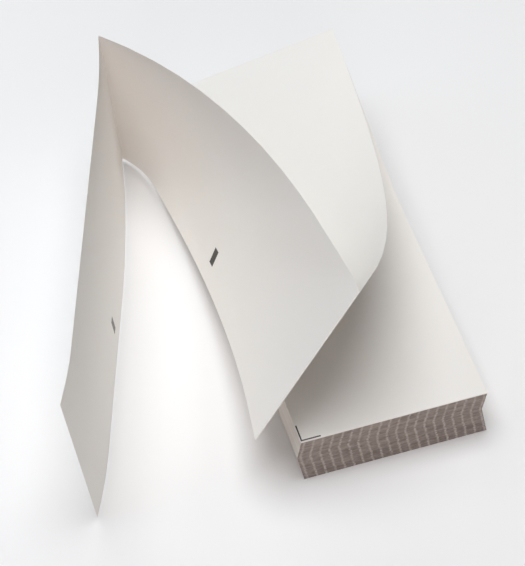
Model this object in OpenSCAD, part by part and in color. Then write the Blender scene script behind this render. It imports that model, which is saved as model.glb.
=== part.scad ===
// A pack of z-fold thermal paper: one long web of paper, folded to and fro
// into a flat stack, with its last three leaves pulled open. Each leaf is a
// flat strip that bends only about straight lines, as paper does.
// Millimetres, +Z up. The origin is at the middle of the pack's underside,
// +X runs across the web and +Y runs along a leaf, towards the back fold.

/* [Pack] */
// width of the web, across the leaves
sheet_w = 65; // [64:0.1:65.2]
// length of one leaf, from fold to fold
leaf_l = 156; // [156:1:165]
// height of the folded stack
pack_h = 20.6; // [20:0.1:24]
// number of leaves folded into the stack
sheet_count = 200; // [100:2:240]
// height above the table, as a share of the stack, where its cut sides jog
jog_ratio = 0.61; // [0.3:0.01:0.8]
// sideways shift of the stack at the jog
jog_shift = -1.45; // [-2:0.05:2]
// sideways shift of the stack at its underside
foot_shift = 0.95; // [-2:0.05:2]
// forward shift of the stack at its underside
foot_reach = 1.1; // [0:0.05:2]
// depth of the groove between two fold edges
fold_groove = 0.12; // [0.05:0.01:0.2]
// how far the cut sides of the stack lie inside the top leaf
side_inset = 0.15; // [0.12:0.01:0.3]

/* [Paper] */
// thickness of the opened paper
paper_t = 0.1; // [0.08:0.01:0.13]
// length of paper taken up in one opened fold
fold_arc = 0.6; // [0.5:0.1:1]
// air under the top leaf where it lies flat
top_air = 0.05; // [0.03:0.01:0.2]
// rise of the top leaf's front fold, from sheet to sheet
front_rise = 0.3; // [0.25:0.01:0.4]
// run of the second leaf inside the stack, up to the top leaf's front fold
root_l = 3; // [2:0.5:6]
// facets in one opened fold
fold_steps = 6; // [5:1:8]
// facets in one curl of a leaf
bend_steps = 10; // [8:1:12]

/* [Top leaf] */
// right edge, distance from the front fold where the lift starts
top_right_from = 76; // [68:1:78]
// right edge, distance from the front fold where the lift ends
top_right_to = 127; // [120:1:128]
// left edge, distance from the front fold where the lift starts
top_left_from = 129; // [115:1:131]
// left edge, distance from the front fold where the lift ends
top_left_to = 148; // [140:1:149]
// lift of the back corner
top_lift_angle = 35.3; // [25:0.1:35.5]

/* [First open leaf] */
// turn of the paper in the back fold
back_fold_angle = 162.8; // [155:0.1:163]
// right edge, distance from the back fold where the first curl starts
first_right_from = 8; // [6:1:12]
// right edge, distance from the back fold where the first curl ends
first_right_mid = 40; // [36:1:40]
// right edge, distance from the back fold where the second curl starts
first_right_next = 41; // [40.5:0.5:41.5]
// right edge, distance from the back fold where the second curl ends
first_right_to = 139; // [137:1:139]
// left edge, distance from the back fold where the first curl ends
first_left_mid = 133; // [110:1:134]
// left edge, distance from the back fold where the second curl starts
first_left_next = 135; // [135:1:136]
// turn of the leaf's first curl
first_curl_angle = 23; // [22.5:0.1:24]
// turn of the leaf's second curl
first_next_angle = 49.9; // [45:0.1:50]

/* [Second open leaf] */
// turn of the paper in the front fold of the opened leaves
front_fold_angle = 151; // [145:0.1:151]
// right edge, distance from the front fold where the first curl ends
second_right_mid = 12; // [8:1:28]
// right edge, distance from the front fold where the second curl starts
second_right_next = 33; // [31:1:50]
// right edge, distance from the front fold where the second curl ends
second_right_to = 150; // [149:1:153]
// left edge, distance from the front fold where the first curl starts
second_left_from = 14; // [6:1:14]
// left edge, distance from the front fold where the first curl ends
second_left_mid = 117; // [100:1:118]
// left edge, distance from the front fold where the second curl starts
second_left_next = 134; // [130:1:135]
// turn of the leaf's first curl
second_curl_angle = 20.7; // [20.5:0.1:21.5]
// turn of the leaf's second curl
second_next_angle = 46.4; // [40:0.1:47]

/* [Third open leaf] */
// turn of the paper in the standing fold
stand_fold_angle = 127.6; // [124:0.1:135]
// right edge, distance from the standing fold where the first curl ends
third_right_mid = 32; // [20:1:80]
// right edge, distance from the standing fold where the second curl starts
third_right_next = 136; // [110:1:140]
// right edge, distance from the standing fold where the second curl ends
third_right_to = 148; // [146:1:154]
// left edge, distance from the standing fold where the first curl starts
third_left_from = 8; // [3:1:20]
// left edge, distance from the standing fold where the first curl ends
third_left_mid = 66; // [45:1:95]
// left edge, distance from the standing fold where the second curl starts
third_left_next = 129; // [115:1:135]
// left edge, distance from the standing fold where the second curl ends
third_left_to = 151; // [142:1:154]
// turn of the leaf's first curl
third_curl_angle = 7.7; // [3:0.1:9]
// turn of the leaf's second curl
third_next_angle = 6.4; // [2:0.1:10]

/* [Hidden] */
half_w = sheet_w / 2;
half_l = leaf_l / 2;
// one fold edge holds two sheets
edge_h = 2 * pack_h / sheet_count;
edge_count = sheet_count / 2;
stack_top = pack_h - paper_t - top_air;
// paper taken up in the top leaf's front fold, and the height where it starts
front_arc = front_rise * fold_steps * tan(90 / fold_steps);
root_z = pack_h - paper_t / 2 - front_rise;
jog_z = pack_h * jog_ratio;

// The flat web: straight bend lines and how far the paper turns there.

// bend lines shared out evenly between two lines across the web
function bend(at, r0, r1, l0, l1, turn, steps) =
    [for (i = [0:steps - 1])
        let (f = (i + 0.5) / steps)
        [at + r0 + (r1 - r0) * f, at + l0 + (l1 - l0) * f, turn / steps]];

// a fold is a tight bend that runs square across the web
function fold(at, turn) =
    let (h = fold_arc / 2)
    bend(at, -h, h, -h, h, turn, fold_steps);

bend_lines = concat(
    bend(0, -front_arc / 2, front_arc / 2, -front_arc / 2, front_arc / 2,
        -180, fold_steps),
    bend(0, top_right_from, top_right_to, top_left_from, top_left_to,
        top_lift_angle, bend_steps),
    fold(leaf_l, back_fold_angle),
    bend(leaf_l, first_right_from, first_right_mid, 0, first_left_mid,
        -first_curl_angle, bend_steps),
    bend(leaf_l, first_right_next, first_right_to, first_left_next, leaf_l,
        -first_next_angle, bend_steps),
    fold(2 * leaf_l, -front_fold_angle),
    bend(2 * leaf_l, 0, second_right_mid, second_left_from, second_left_mid,
        second_curl_angle, bend_steps),
    bend(2 * leaf_l, second_right_next, second_right_to, second_left_next,
        leaf_l, second_next_angle, bend_steps),
    fold(3 * leaf_l, stand_fold_angle),
    bend(3 * leaf_l, 0, third_right_mid, third_left_from, third_left_mid,
        -third_curl_angle, bend_steps),
    bend(3 * leaf_l, third_right_next, third_right_to, third_left_next,
        third_left_to, -third_next_angle, bend_steps)
);
line_count = len(bend_lines);
web_end = 4 * leaf_l;

// The folded web: the flat facets carried round, one bend at a time.

// points of a bend line on the flat web, at its right and left edge
function flat_right(i) =
    [sheet_w, i < 0 ? -root_l : i < line_count ? bend_lines[i][0] : web_end, 0, 1];
function flat_left(i) =
    [0, i < 0 ? -root_l : i < line_count ? bend_lines[i][1] : web_end, 0, 1];

// turn by an angle about a line through p along the unit vector d
function turn_about(p, d, a) =
    let (
        c = cos(a),
        s = sin(a),
        k = 1 - c,
        m = [
            [c + d.x * d.x * k, d.x * d.y * k - d.z * s, d.x * d.z * k + d.y * s],
            [d.y * d.x * k + d.z * s, c + d.y * d.y * k, d.y * d.z * k - d.x * s],
            [d.z * d.x * k - d.y * s, d.z * d.y * k + d.x * s, c + d.z * d.z * k]
        ],
        q = p - m * p
    )
    [concat(m[0], q.x), concat(m[1], q.y), concat(m[2], q.z), [0, 0, 0, 1]];

function first_three(v) = [v.x, v.y, v.z];

function bend_turn(i) =
    let (
        p = first_three(flat_right(i)),
        q = first_three(flat_left(i)),
        d = (p - q) / norm(p - q)
    )
    turn_about(q, d, bend_lines[i][2]);

// the web starts upside down in the second leaf, inside the stack
start_place = [
    [1, 0, 0, -half_w],
    [0, -1, 0, (front_rise + paper_t - front_arc) / 2 - half_l],
    [0, 0, -1, root_z],
    [0, 0, 0, 1]
];

// place of each flat facet, in order along the web
places = [
    for (i = 0, m = start_place; i <= line_count;
        m = i < line_count ? m * bend_turn(i) : m, i = i + 1) m
];

function facet_normal(i) =
    let (m = places[min(max(i, 0), line_count)])
    [m[0][2], m[1][2], m[2][2]];

// half the thickness, measured along the mitre between two facets
function mitre(i) =
    let (a = facet_normal(i), b = facet_normal(i + 1))
    (a + b) * (paper_t / 2) / (1 + a * b);

function placed(i, v) = first_three(places[min(i + 1, line_count)] * v);

rows = line_count + 2;
web_points = [
    for (i = [-1:line_count])
        let (r = placed(i, flat_right(i)), l = placed(i, flat_left(i)), m = mitre(i))
        each [r + m, r - m, l - m, l + m]
];

// corners of row i: 0 right upper, 1 right lower, 2 left lower, 3 left upper
web_faces = concat(
    [[0, 1, 2, 3]],
    [for (i = [0:rows - 2])
        let (a = 4 * i, b = a + 4)
        each [
            [a, a + 3, b + 3, b],
            [a + 2, a + 1, b + 1, b + 2],
            [a, b, b + 1],
            [a, b + 1, a + 1],
            [a + 2, b + 2, b + 3],
            [a + 2, b + 3, a + 3]
        ]
    ],
    [[4 * rows - 1, 4 * rows - 2, 4 * rows - 3, 4 * rows - 4]]
);

// The stack: fold edges at front and back, cut sides left and right.

// outline of the fold edges at one end, up to a height of top, with a groove
// between two edges; the first groove lies at a height of start
function fold_edges(start, top) =
    [for (k = [-1:edge_count])
        let (z = start + k * edge_h)
        for (p = [
            [half_l - fold_groove, z],
            [half_l - fold_groove * 0.2, z + edge_h * 0.2],
            [half_l, z + edge_h * 0.5],
            [half_l - fold_groove * 0.2, z + edge_h * 0.8]
        ])
            if (p.y > edge_h * 0.05 && p.y < top - edge_h * 0.05) p];

function reversed(v) = [for (i = [len(v) - 1:-1:0]) v[i]];

// an outline pushed forward, evenly from the top down to the underside
function pushed(v) = [for (p = v) [p.x - foot_reach * (1 - p.y / stack_top), p.y]];

// the stack seen from its right side: the back folds lie one sheet higher than
// the front ones, and the topmost sheets stand back inside the top leaf's
// open front fold
module fold_outline() {
    end = half_l - fold_groove / 2;
    inner_end = half_l - front_rise;
    polygon(pushed(concat(
        [[-end, 0], [end, 0]],
        fold_edges(edge_h / 2, stack_top),
        [[end, stack_top], [-inner_end, stack_top]],
        [[-inner_end, root_z], [fold_groove - half_l, root_z]],
        reversed([for (p = fold_edges(0, root_z)) [-p.x, p.y]])
    )));
}

// the stack seen from the front; its cut sides lean over and back
module cut_outline() {
    w = half_w - side_inset;
    polygon([
        [foot_shift - w, 0],
        [foot_shift + w, 0],
        [jog_shift + w, jog_z],
        [w, stack_top],
        [-w, stack_top],
        [jog_shift - w, jog_z]
    ]);
}

module stack() {
    intersection() {
        rotate([90, 0, 90])
            linear_extrude(height = 2 * sheet_w, center = true)
                fold_outline();
        rotate([90, 0, 0])
            linear_extrude(height = 2 * leaf_l, center = true)
                cut_outline();
    }
}

module folded_paper() {
    color([0.93, 0.92, 0.9]) {
        stack();
        polyhedron(points = web_points, faces = web_faces, convexity = 6);
    }
}

folded_paper();
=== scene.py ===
import math
import random

import bpy
import bmesh
from mathutils import Matrix, Vector


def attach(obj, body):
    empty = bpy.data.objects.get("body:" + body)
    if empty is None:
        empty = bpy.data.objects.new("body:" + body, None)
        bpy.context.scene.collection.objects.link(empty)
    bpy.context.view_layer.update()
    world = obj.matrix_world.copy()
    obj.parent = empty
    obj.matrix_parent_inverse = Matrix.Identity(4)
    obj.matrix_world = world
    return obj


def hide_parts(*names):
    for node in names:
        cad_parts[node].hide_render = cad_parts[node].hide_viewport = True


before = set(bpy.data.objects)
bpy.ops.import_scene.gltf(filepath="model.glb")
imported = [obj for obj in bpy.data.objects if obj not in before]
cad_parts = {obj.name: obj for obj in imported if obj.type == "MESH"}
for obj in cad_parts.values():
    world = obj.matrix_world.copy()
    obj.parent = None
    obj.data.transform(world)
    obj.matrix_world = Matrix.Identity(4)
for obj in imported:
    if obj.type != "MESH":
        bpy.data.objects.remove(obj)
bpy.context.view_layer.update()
random.seed(7)

# Camera: seen from the front left and above, over the pack's front left corner,
# from about three quarters of a metre.
camera_data = bpy.data.cameras.new("view_camera")
camera_data.sensor_fit = "HORIZONTAL"
camera_data.sensor_width = 36.0
camera_data.lens = 150.22
camera_data.clip_start = 0.05
camera_data.clip_end = 20.0
camera = bpy.data.objects.new("view_camera", camera_data)
bpy.context.collection.objects.link(camera)
camera_right = Vector((0.95321, -0.3023, -0.00302))
camera_up = Vector((0.23988, 0.75024, 0.61612))
camera_back = Vector((-0.18399, -0.58801, 0.78765))
turned = Matrix((camera_right, camera_up, camera_back)).transposed().to_4x4()
camera.matrix_world = Matrix.Translation((-0.16295, -0.45387, 0.61333)) @ turned
bpy.context.scene.camera = camera


# The opened web: one strip of thermal paper, printed and perforated flat, then
# folded. It is drawn flat, cut along its bend lines and folded up from its free
# end, so every leaf keeps its size. Its root lies inside the stack's top fold.
MM = 0.001
WEB_W = 65 * MM
LEAF_L = 156 * MM
PACK_H = 20.6 * MM
PAPER_T = 0.1 * MM
FRONT_RISE = 0.3 * MM
ROOT_L = 3 * MM
FOLD_ARC = 0.6 * MM
FOLD_STEPS = 6
BEND_STEPS = 10
JOINED = 1e-7


def bend(start, right_from, right_to, left_from, left_to, turn, steps):
    """Bend lines from start, shared out evenly, each with its share of the turn.

    The first one runs from right_from to left_from, the last one from right_to
    to left_to: places along the web's right and left edge in millimetres.
    """
    lines = []
    for i in range(steps):
        part = (i + 0.5) / steps
        right = start + (right_from + (right_to - right_from) * part) * MM
        left = start + (left_from + (left_to - left_from) * part) * MM
        lines.append((right, left, math.radians(turn) / steps))
    return lines


def fold(start, turn, arc=FOLD_ARC):
    """A tight bend square across the web, half its arc on each side of start."""
    half = arc / 2 / MM
    return bend(start, -half, half, -half, half, turn, FOLD_STEPS)


# The top front fold turns the web right over, as far as its two runs are apart
FRONT_ARC = FRONT_RISE * FOLD_STEPS * math.tan(math.radians(90 / FOLD_STEPS))

# Each leaf starts with its fold: the top leaf, which lifts near its back corner,
# the first and second opened leaf with two curls each, and the third
bend_lines = (
    fold(0, -180, FRONT_ARC)
    + bend(0, 76, 127, 129, 148, 35.3, BEND_STEPS)
    + fold(LEAF_L, 162.8)
    + bend(LEAF_L, 8, 40, 0, 133, -23.0, BEND_STEPS)
    + bend(LEAF_L, 41, 139, 135, 156, -49.9, BEND_STEPS)
    + fold(2 * LEAF_L, -151.0)
    + bend(2 * LEAF_L, 0, 12, 14, 117, 20.7, BEND_STEPS)
    + bend(2 * LEAF_L, 33, 150, 134, 156, 46.4, BEND_STEPS)
    + fold(3 * LEAF_L, 127.6)
    + bend(3 * LEAF_L, 0, 32, 8, 66, -7.7, BEND_STEPS)
    + bend(3 * LEAF_L, 136, 148, 129, 151, -6.4, BEND_STEPS)
)

bpy.ops.object.select_all(action="DESELECT")
web_run = ROOT_L + 4 * LEAF_L
bpy.ops.mesh.primitive_plane_add(
    size=1, location=(WEB_W / 2, web_run / 2 - ROOT_L, 0))
web = bpy.context.object
web.name = "opened_web"
web.data.name = "opened_web"
web.scale = (WEB_W, web_run, 1)
bpy.ops.object.transform_apply(location=True, rotation=True, scale=True)

bpy.ops.object.mode_set(mode="EDIT")
for right, left, turn in bend_lines:
    along = Vector((WEB_W, right - left, 0)).normalized()
    bpy.ops.mesh.select_all(action="SELECT")
    bpy.ops.mesh.bisect(
        plane_co=(0, left, 0), plane_no=(-along.y, along.x, 0), threshold=JOINED)

# Printed marks, cut out of the flat strip: a corner mark on the top leaf and an
# index bar on each opened leaf whose print side shows. Each row says where the
# mark starts and ends across the web and where it starts and ends along it.
PAPER, INK = 0, 1
MARK_MARGIN = 0.001 * MM
LEG_W = 0.5 * MM
LEG_SIDE = 0.15 * MM
LEG_FRONT = 0.5 * MM
MARKS = [
    (LEG_SIDE, LEG_SIDE + LEG_W, LEG_FRONT, 6.9 * MM),
    (LEG_SIDE + LEG_W, 7.0 * MM, LEG_FRONT, LEG_FRONT + LEG_W),
    (7.0 * MM, 13.5 * MM, 2 * LEAF_L + 81.9 * MM, 2 * LEAF_L + 84.8 * MM),
    (6.8 * MM, 13.6 * MM, 3 * LEAF_L + 83.6 * MM, 3 * LEAF_L + 86.5 * MM),
]
for low_x, high_x, low_y, high_y in MARKS:
    for co, no in (
        ((low_x, 0, 0), (1, 0, 0)),
        ((high_x, 0, 0), (1, 0, 0)),
        ((0, low_y, 0), (0, 1, 0)),
        ((0, high_y, 0), (0, 1, 0)),
    ):
        bpy.ops.mesh.select_all(action="DESELECT")
        shape = bmesh.from_edit_mesh(web.data)
        for face in shape.faces:
            ys = [v.co.y for v in face.verts]
            if max(ys) > low_y - MARK_MARGIN and min(ys) < high_y + MARK_MARGIN:
                face.select_set(True)
        bmesh.update_edit_mesh(web.data)
        bpy.ops.mesh.bisect(plane_co=co, plane_no=no, threshold=JOINED)
bpy.ops.mesh.select_all(action="DESELECT")
shape = bmesh.from_edit_mesh(web.data)
flat = shape.loops.layers.uv.verify()
for face in shape.faces:
    middle = face.calc_center_median()
    printed = any(
        low_x < middle.x < high_x and low_y < middle.y < high_y
        for low_x, high_x, low_y, high_y in MARKS)
    face.material_index = INK if printed else PAPER
    for loop in face.loops:
        loop[flat].uv = (loop.vert.co.x / WEB_W, loop.vert.co.y / WEB_W)
flat_at = {v.index: v.co.copy() for v in shape.verts}
bmesh.update_edit_mesh(web.data)

# Folding, from the free end back to the root: what lies past each line turns
PAST_LINE = 1e-8
for right, left, turn in reversed(bend_lines):
    along = Vector((WEB_W, right - left, 0)).normalized()
    across = Vector((-along.y, along.x, 0))
    shape = bmesh.from_edit_mesh(web.data)
    shape.verts.ensure_lookup_table()
    for v in shape.verts:
        v.select = (flat_at[v.index] - Vector((0, left, 0))).dot(across) > PAST_LINE
    shape.select_flush(True)
    bmesh.update_edit_mesh(web.data)
    bpy.ops.transform.rotate(
        value=turn, orient_axis="X", orient_matrix=(along, across, (0, 0, 1)),
        constraint_axis=(True, False, False), center_override=(0, left, 0))
bpy.ops.object.mode_set(mode="OBJECT")

# The root lies upside down under the top leaf, inside the stack
web.matrix_world = Matrix((
    (1, 0, 0, -WEB_W / 2),
    (0, -1, 0, (FRONT_RISE + PAPER_T - FRONT_ARC) / 2 - LEAF_L / 2),
    (0, 0, -1, PACK_H - PAPER_T / 2 - FRONT_RISE),
    (0, 0, 0, 1),
))
bpy.ops.object.transform_apply(location=True, rotation=True, scale=True)
solidify = web.modifiers.new("paper_thickness", "SOLIDIFY")
solidify.thickness = PAPER_T
solidify.offset = 0
printed_side = len(web.data.polygons)
bpy.ops.object.modifier_apply(modifier="paper_thickness")
for face in web.data.polygons[printed_side:]:
    face.material_index = PAPER
CREASE = math.radians(40)
bpy.ops.object.shade_smooth_by_angle(angle=CREASE)


# The folded stack: two hundred leaves of the same web. Each fold edge holds two
# sheets and is round; the edges never line up quite, and the cut sides lean.
# It is drawn up from its underside, one ring of fold edges after another.
SHEET_COUNT = 200
TOP_AIR = 0.05 * MM
STACK_TOP = PACK_H - PAPER_T - TOP_AIR
EDGE_H = 2 * PACK_H / SHEET_COUNT
GROOVE = 0.12 * MM
SIDE_INSET = 0.15 * MM
HALF_W = WEB_W / 2 - SIDE_INSET
HALF_L = LEAF_L / 2
ROOT_Z = PACK_H - PAPER_T / 2 - FRONT_RISE
JOG_Z = PACK_H * 0.61
JOG_SHIFT = -1.45 * MM
FOOT_SHIFT = 0.95 * MM
FOOT_REACH = 1.1 * MM


def lean(z):
    """Sideways shift of the sheets at a height."""
    if z < JOG_Z:
        return FOOT_SHIFT + (JOG_SHIFT - FOOT_SHIFT) * z / JOG_Z
    return JOG_SHIFT * (STACK_TOP - z) / (STACK_TOP - JOG_Z)


EDGES = SHEET_COUNT // 2 + 2
SPREAD = 0.05
front_in = [random.uniform(0, SPREAD) * MM for k in range(EDGES)]
back_in = [random.uniform(0, SPREAD) * MM for k in range(EDGES)]
side_shift = [random.uniform(-SPREAD, 0) * MM for k in range(EDGES)]


def fold_edge(z, start, insets):
    """Distance of the fold edges from the middle at a height."""
    k, up = divmod((z - start) / EDGE_H + 1, 1)
    return HALF_L - insets[int(k)] - GROOVE * (2 * up - 1) ** 4


def stack_ring(z, inside_fold):
    """Middle and size of the stack's outline at a height."""
    front = -fold_edge(z, 0, front_in)
    if inside_fold:
        front = FRONT_RISE - HALF_L
    back = fold_edge(z, EDGE_H / 2, back_in)
    push = FOOT_REACH * (z / STACK_TOP - 1)
    shift = lean(z) + side_shift[int(z / EDGE_H)]
    return Vector((shift, (front + back) / 2 + push, z)), back - front


# Up to the root the fold edges show; above it the front stands back as a ledge,
# inside the open top fold
RING_PLACES = (0.04, 0.25, 0.46, 0.54, 0.75, 0.96)
RING_GAP = 0.01 * MM
rings = []
for k in range(EDGES):
    for up in RING_PLACES:
        z = (k + up) * EDGE_H
        if z < ROOT_Z - RING_GAP:
            rings.append(stack_ring(z, False))
rings.append(stack_ring(ROOT_Z, False))
rings.append(stack_ring(ROOT_Z, True))
rings.append(stack_ring(STACK_TOP, True))
rings[0][0].z = 0

bpy.ops.object.select_all(action="DESELECT")
middle, length = rings[0]
bpy.ops.mesh.primitive_plane_add(size=1, location=middle)
stack = bpy.context.object
stack.name = "stack"
stack.data.name = "stack"
stack.scale = (2 * HALF_W, length, 1)
bpy.ops.object.transform_apply(location=True, rotation=True, scale=True)
bpy.ops.object.mode_set(mode="EDIT")
bpy.ops.mesh.select_all(action="SELECT")
for next_middle, next_length in rings[1:]:
    bpy.ops.mesh.extrude_region_move(
        TRANSFORM_OT_translate={"value": next_middle - middle})
    bpy.ops.transform.resize(
        value=(1, next_length / length, 1), center_override=next_middle)
    middle, length = next_middle, next_length
bpy.ops.mesh.select_all(action="SELECT")
bpy.ops.mesh.normals_make_consistent(inside=False)

# The flat faces show a whole leaf, the others its cut sides or its fold edges, whose
# material holds painted shade
CUT_SIDE, FOLD_EDGE, LEAF = 0, 1, 2
FLAT = 0.99
shape = bmesh.from_edit_mesh(stack.data)
flat = shape.loops.layers.uv.verify()
for face in shape.faces:
    if abs(face.normal.z) > FLAT:
        face.material_index = LEAF
    elif abs(face.normal.y) > abs(face.normal.x):
        face.material_index = FOLD_EDGE
    else:
        face.material_index = CUT_SIDE
    for loop in face.loops:
        co = loop.vert.co
        if face.material_index == LEAF:
            loop[flat].uv = (co.x / WEB_W, co.y / WEB_W)
        else:
            loop[flat].uv = ((co.x - lean(co.z)) / WEB_W + 0.5, co.z / WEB_W)
bmesh.update_edit_mesh(stack.data)
bpy.ops.object.mode_set(mode="OBJECT")
bpy.ops.object.shade_smooth_by_angle(angle=CREASE)


# Thermal paper: warm white, smooth and a little silky, with faint fibres. It is
# thin enough to let some light through.
paper = bpy.data.materials.new("thermal_paper")
paper.use_nodes = True
nodes, links = paper.node_tree.nodes, paper.node_tree.links
shader = nodes["Principled BSDF"]
shader.inputs["Roughness"].default_value = 0.55
shader.inputs["Specular IOR Level"].default_value = 0.25
shader.inputs["Subsurface Weight"].default_value = 0.3
shader.inputs["Subsurface Radius"].default_value = (1.0, 0.9, 0.8)
shader.inputs["Subsurface Scale"].default_value = 0.00008
place = nodes.new("ShaderNodeTexCoord")
fibres = nodes.new("ShaderNodeTexNoise")
fibres.inputs["Scale"].default_value = 220
fibres.inputs["Detail"].default_value = 3
links.new(place.outputs["UV"], fibres.inputs["Vector"])
tone = nodes.new("ShaderNodeMix")
tone.data_type = "RGBA"
tone.inputs[6].default_value = (0.86, 0.84, 0.805, 1)
tone.inputs[7].default_value = (0.90, 0.885, 0.855, 1)
links.new(fibres.outputs["Fac"], tone.inputs[0])
links.new(tone.outputs[2], shader.inputs["Base Color"])
relief = nodes.new("ShaderNodeBump")
relief.inputs["Strength"].default_value = 0.08
relief.inputs["Distance"].default_value = 0.0001
links.new(fibres.outputs["Fac"], relief.inputs["Height"])
links.new(relief.outputs["Normal"], shader.inputs["Normal"])
web.data.materials.append(paper)

# Print: the black index marks, slightly uneven as heat-printed marks are, and
# paler toward the free end of the web.
ink = bpy.data.materials.new("index_print")
ink.use_nodes = True
nodes, links = ink.node_tree.nodes, ink.node_tree.links
shader = nodes["Principled BSDF"]
shader.inputs["Roughness"].default_value = 0.5
place = nodes.new("ShaderNodeTexCoord")
split = nodes.new("ShaderNodeSeparateXYZ")
links.new(place.outputs["UV"], split.inputs["Vector"])
fade = nodes.new("ShaderNodeMapRange")
fade.inputs["From Min"].default_value = (2 * LEAF_L + 90 * MM) / WEB_W
fade.inputs["From Max"].default_value = (3 * LEAF_L + 80 * MM) / WEB_W
fade.inputs["To Max"].default_value = 0.7
links.new(split.outputs["Y"], fade.inputs["Value"])
patches = nodes.new("ShaderNodeTexNoise")
patches.inputs["Scale"].default_value = 120
links.new(place.outputs["UV"], patches.inputs["Vector"])
uneven_fade = nodes.new("ShaderNodeMath")
uneven_fade.operation = "MULTIPLY_ADD"
uneven_fade.inputs[1].default_value = 0.3
links.new(patches.outputs["Fac"], uneven_fade.inputs[0])
links.new(fade.outputs["Result"], uneven_fade.inputs[2])
tone = nodes.new("ShaderNodeMix")
tone.data_type = "RGBA"
tone.inputs[6].default_value = (0.035, 0.03, 0.027, 1)
tone.inputs[7].default_value = (0.21, 0.20, 0.18, 1)
links.new(uneven_fade.outputs[0], tone.inputs[0])
links.new(tone.outputs[2], shader.inputs["Base Color"])
web.data.materials.append(ink)


# Sheet edges: the same paper seen edge on, on the cut sides and on the fold edges, which
# are painted darker as painted shade of the grooves between the folds. Each fold is
# perforated, and the small ties between the cuts show as paler lines up the front and back
# of the stack.
TIE_PITCH = 3.31 * MM / WEB_W
TIE_FIRST = 1.3 * MM / WEB_W
TIE_HALF = 0.36 * MM / WEB_W
TIE_WANDER = 0.9 * MM / WEB_W


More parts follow.
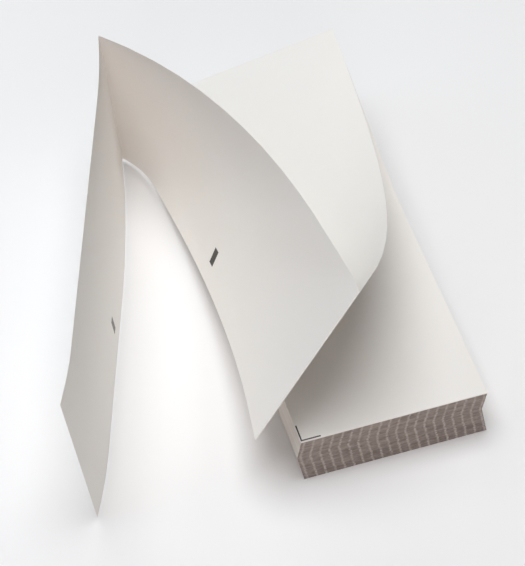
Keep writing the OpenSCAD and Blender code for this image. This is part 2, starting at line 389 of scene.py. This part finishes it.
def edge_material(name, dark, light, ties):
    """Paper seen edge on, in streaks along the sheets, with painted shade darker toward
    the foot, with or without ties.
    """
    material = bpy.data.materials.new(name)
    material.use_nodes = True
    nodes, links = material.node_tree.nodes, material.node_tree.links
    shader = nodes["Principled BSDF"]
    shader.inputs["Roughness"].default_value = 0.75
    shader.inputs["Specular IOR Level"].default_value = 0.2
    place = nodes.new("ShaderNodeTexCoord")
    split = nodes.new("ShaderNodeSeparateXYZ")
    links.new(place.outputs["UV"], split.inputs["Vector"])

    def number(kind, *values):
        """A number worked out from others."""
        node = nodes.new("ShaderNodeMath")
        node.operation = kind
        for socket, value in zip(node.inputs, values):
            if isinstance(value, (int, float)):
                socket.default_value = value
            else:
                links.new(value, socket)
        return node.outputs[0]

    def uneven(across, up, strength):
        """Noise around nought, so fine across the web and so fine up the stack."""
        scaled = nodes.new("ShaderNodeMapping")
        scaled.inputs["Scale"].default_value = (across, up, 1)
        links.new(place.outputs["UV"], scaled.inputs["Vector"])
        texture = nodes.new("ShaderNodeTexNoise")
        texture.inputs["Scale"].default_value = 1
        texture.inputs["Detail"].default_value = 1
        links.new(scaled.outputs["Vector"], texture.inputs["Vector"])
        return number("MULTIPLY_ADD", texture.outputs["Fac"], strength, -strength / 2)

    def mix(factor, first, second):
        """Two colours mixed."""
        node = nodes.new("ShaderNodeMix")
        node.data_type = "RGBA"
        links.new(factor, node.inputs[0])
        for socket, value in ((node.inputs[6], first), (node.inputs[7], second)):
            if isinstance(value, tuple):
                socket.default_value = value + (1,)
            else:
                links.new(value, socket)
        return node.outputs[2]

    # Single sheets, bundles of sheets and small patches, and painted shade darker toward
    # the foot
    streaks = uneven(14, 320, 1.6)
    shade = number("ADD", streaks, uneven(6, 50, 1.6))
    shade = number("ADD", shade, uneven(40, 90, 1.2))
    # Painted shade: the lower the sheet edges stand, the darker they are painted
    height = number("MULTIPLY", split.outputs["Y"], WEB_W / PACK_H)
    shade = number("ADD", shade, number("MULTIPLY_ADD", height, 0.5, 0.25))
    colour = mix(shade, dark, light)
    if ties:
        # Lines with soft flanks, which wander a little and come and go
        wander = number("ADD", uneven(1.5, 300, TIE_WANDER), uneven(6, 45, TIE_WANDER))
        across = number("ADD", split.outputs["X"], number("ADD", wander, -TIE_FIRST))
        off_tie = number("PINGPONG", across, TIE_PITCH / 2)
        tie = number("MULTIPLY_ADD", off_tie, -1 / TIE_HALF, 1.5)
        strength = number("ADD", 0.65, uneven(45, 110, 2.4))
        tie = number("MULTIPLY", number("MINIMUM", number("MAXIMUM", tie, 0), 1), strength)
        colour = mix(tie, colour, ties)
    links.new(colour, shader.inputs["Base Color"])
    relief = nodes.new("ShaderNodeBump")
    relief.inputs["Strength"].default_value = 0.3
    relief.inputs["Distance"].default_value = 0.0002
    links.new(streaks, relief.inputs["Height"])
    links.new(relief.outputs["Normal"], shader.inputs["Normal"])
    return material


stack.data.materials.append(edge_material(
    "cut_edges", (0.57, 0.525, 0.485), (0.72, 0.68, 0.635), None))
# The fold edges' dark tones are painted shade, as of the stack's front in shadow and the
# grooves between its folds
stack.data.materials.append(edge_material(
    "fold_edges", (0.27, 0.235, 0.215), (0.46, 0.405, 0.375), (0.63, 0.585, 0.56)))
stack.data.materials.append(paper)


# Studio: a plain white table top under one broad soft light, with a low warm
# light from the front and weaker ones from the left and the back, and plain tones.
bpy.ops.object.select_all(action="DESELECT")
bpy.ops.mesh.primitive_plane_add(size=8, location=(0, 0, 0))
floor = bpy.context.object
floor.name = "floor"
white = bpy.data.materials.new("white_table")
white.use_nodes = True
shader = white.node_tree.nodes["Principled BSDF"]
shader.inputs["Base Color"].default_value = (0.95, 0.95, 0.95, 1)
shader.inputs["Roughness"].default_value = 0.9
floor.data.materials.append(white)

room = bpy.data.worlds.new("room")
room.use_nodes = True
room.node_tree.nodes["Background"].inputs["Color"].default_value = (1, 1, 1, 1)
room.node_tree.nodes["Background"].inputs["Strength"].default_value = 0.04
bpy.context.scene.world = room
bpy.context.scene.view_settings.view_transform = "Standard"

for name, spot, size, energy, tint in (
    ("overhead_light", (-0.1, 0.1, 1.3), 1.0, 14.0, (0.99, 1.0, 1.01)),
    ("front_light", (-0.3, -1.2, 0.35), 0.8, 3.8, (1.15, 0.97, 0.9)),
    ("left_light", (-1.0, 0.2, 0.9), 0.8, 1.2, (0.85, 1.0, 1.2)),
    ("back_light", (-0.1, 1.0, 0.8), 0.8, 1.3, (1.0, 1.0, 1.0)),
):
    bpy.ops.object.light_add(type="AREA", location=spot)
    light = bpy.context.object
    light.name = name
    light.data.shape = "DISK"
    light.data.size = size
    light.data.energy = energy
    light.data.color = tint
    light.rotation_euler = Vector(spot).to_track_quat("Z", "Y").to_euler()

for piece in (web, stack):
    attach(piece, "root")
    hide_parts("folded_paper")
